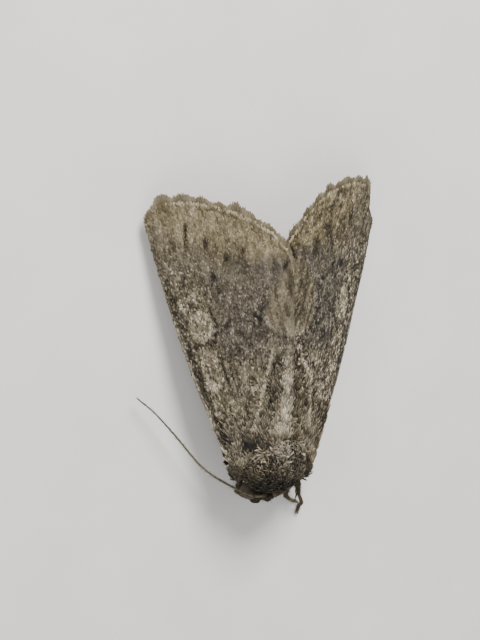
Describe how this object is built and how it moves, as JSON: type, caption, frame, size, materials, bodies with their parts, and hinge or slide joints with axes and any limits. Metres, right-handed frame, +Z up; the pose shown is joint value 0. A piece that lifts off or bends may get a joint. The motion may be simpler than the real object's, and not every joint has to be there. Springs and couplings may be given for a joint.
{
  "type": "noctuid moth",
  "caption": "Dark grey-brown owlet moth standing at rest, wings folded back like a roof over the body, one feeler laid out to the side.",
  "frame": {"origin": "centre of the bounding box in plan, at the level of the feet", "axes": "-Y is the way the moth faces, +X its left side, +Z up"},
  "size_m": [0.0172, 0.0238, 0.0058],
  "materials": {
    "forewing": "dull overlapping scales, dark grey-brown with paler marks and a frayed fringe",
    "hindwing": "thin dull scales, pale greyish brown",
    "body": "coarse hair-scales, dark brown with pale tips",
    "tuft": "long pale brown hair-scales",
    "head": "short rough hair-scales, very dark brown",
    "leg": "close scales, brown with paler rings on the feet",
    "antenna": "ringed thread, scaled above",
    "eye": "glossy, finely faceted, near black",
    "tongue": "smooth dark horn, coiled"
  },
  "bodies": {
    "root": {"abdomen": "body", "anal_tuft": "tuft", "antenna_left": "antenna", "antenna_right": "antenna", "collar": "body", "eye_left": "eye", "eye_right": "eye", "foreleg_left_femur": "leg", "foreleg_left_tarsus": "leg", "foreleg_left_tibia": "leg", "foreleg_right_femur": "leg", "foreleg_right_tarsus": "leg", "foreleg_right_tibia": "leg", "forewing_left": "forewing", "forewing_right": "forewing", "head": "head", "hindleg_left_femur": "leg", "hindleg_left_tarsus": "leg", "hindleg_left_tibia": "leg", "hindleg_right_femur": "leg", "hindleg_right_tarsus": "leg", "hindleg_right_tibia": "leg", "hindwing_left": "hindwing", "hindwing_right": "hindwing", "midleg_left_femur": "leg", "midleg_left_tarsus": "leg", "midleg_left_tibia": "leg", "midleg_right_femur": "leg", "midleg_right_tarsus": "leg", "midleg_right_tibia": "leg", "palp_left": "head", "palp_right": "head", "proboscis": "tongue", "tegula_left": "body", "tegula_right": "body", "thorax": "body"}
  },
  "joints": []
}
